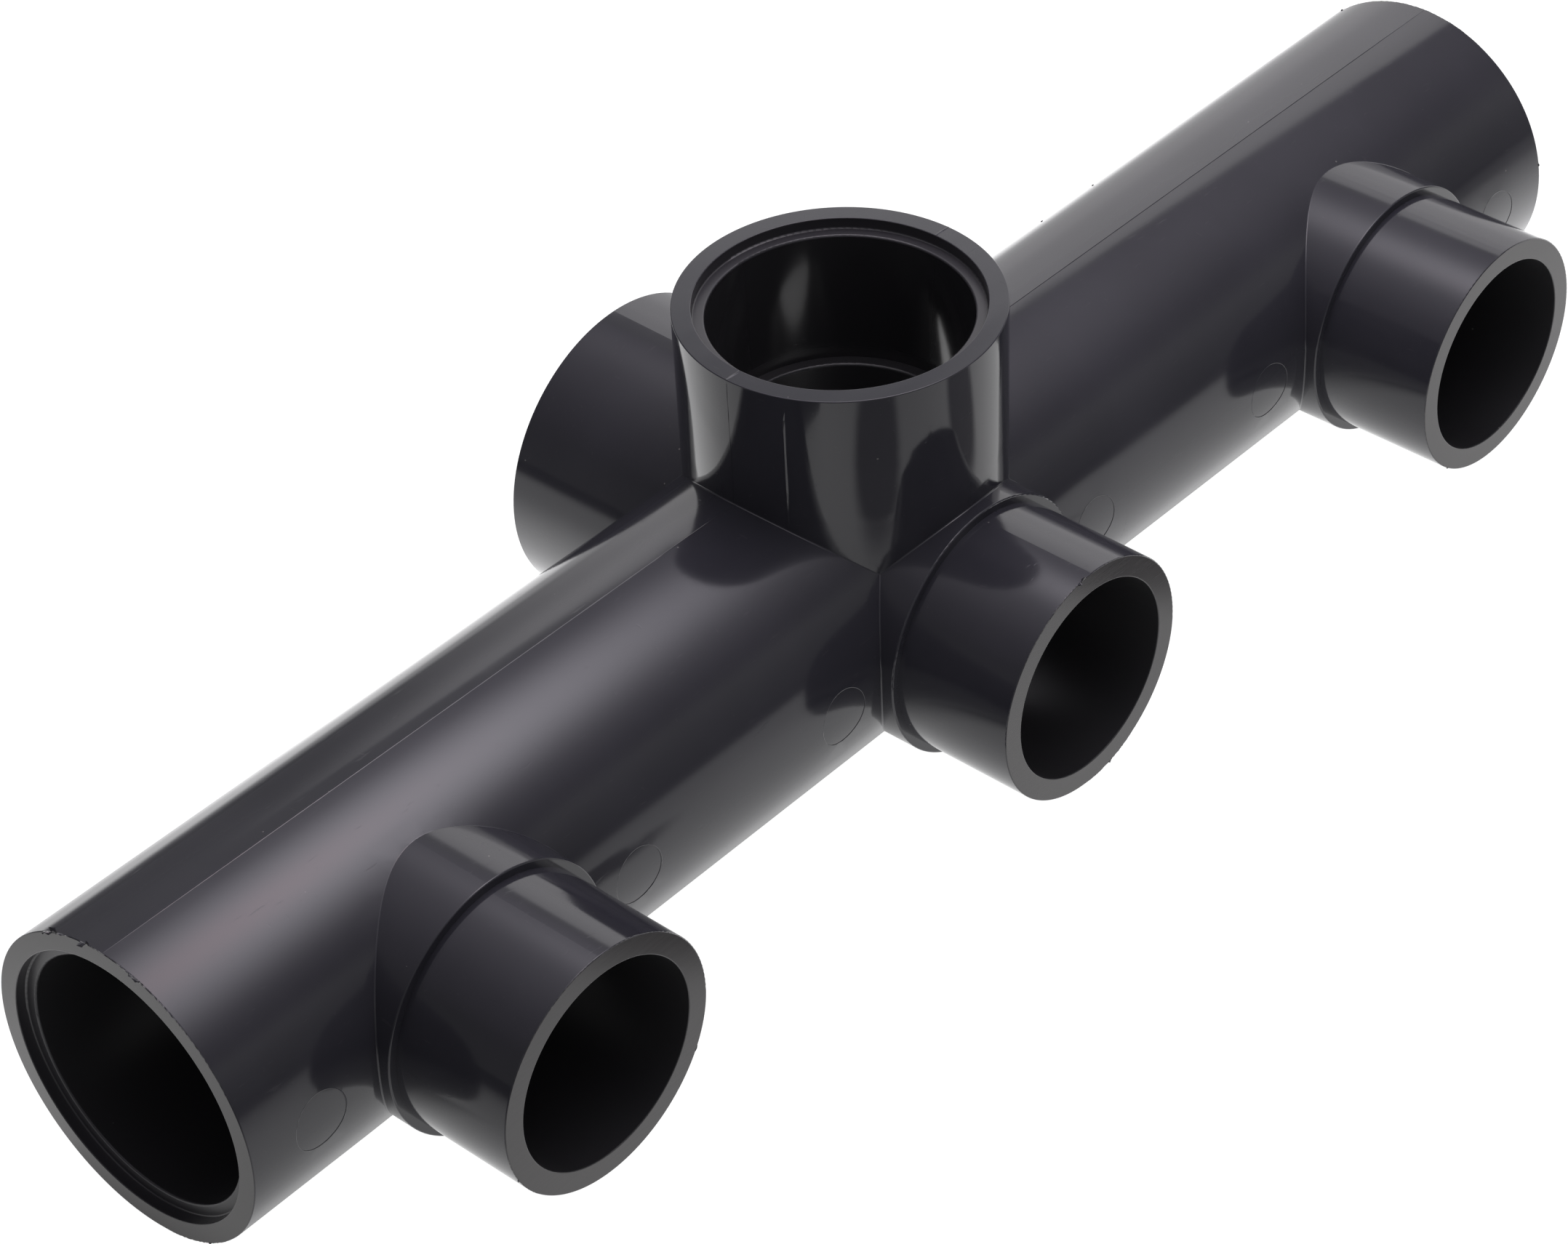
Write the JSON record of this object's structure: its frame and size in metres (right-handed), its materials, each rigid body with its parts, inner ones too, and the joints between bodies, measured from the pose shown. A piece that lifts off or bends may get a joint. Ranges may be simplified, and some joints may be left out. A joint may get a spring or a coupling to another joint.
{
  "type": "manifold cross fitting",
  "caption": "Plastic pipe manifold: a straight run with a socket at each end, sockets up and to the rear at its middle, and plain pipe-sized spigots along the front.",
  "frame": {"origin": "under the point where the axes of the run and the middle branches cross, level with the lowest line of the run's ends", "axes": "+X along the run towards the end that is far in the picture, -Y out of the three spigots, +Y out of the rear socket, +Z out of the top socket"},
  "size_m": [0.474, 0.15, 0.1146],
  "materials": {
    "pvc_u": "glossy moulded skin in near-black grey, matt on the sawn end faces"
  },
  "bodies": {
    "root": {"cross_hub": "pvc_u", "left_barrel": "pvc_u", "right_barrel": "pvc_u", "left_tee": "pvc_u", "right_tee": "pvc_u", "left_end_socket": "pvc_u", "right_end_socket": "pvc_u", "top_socket": "pvc_u", "rear_socket": "pvc_u", "left_spigot": "pvc_u", "middle_spigot": "pvc_u", "right_spigot": "pvc_u"}
  },
  "joints": []
}
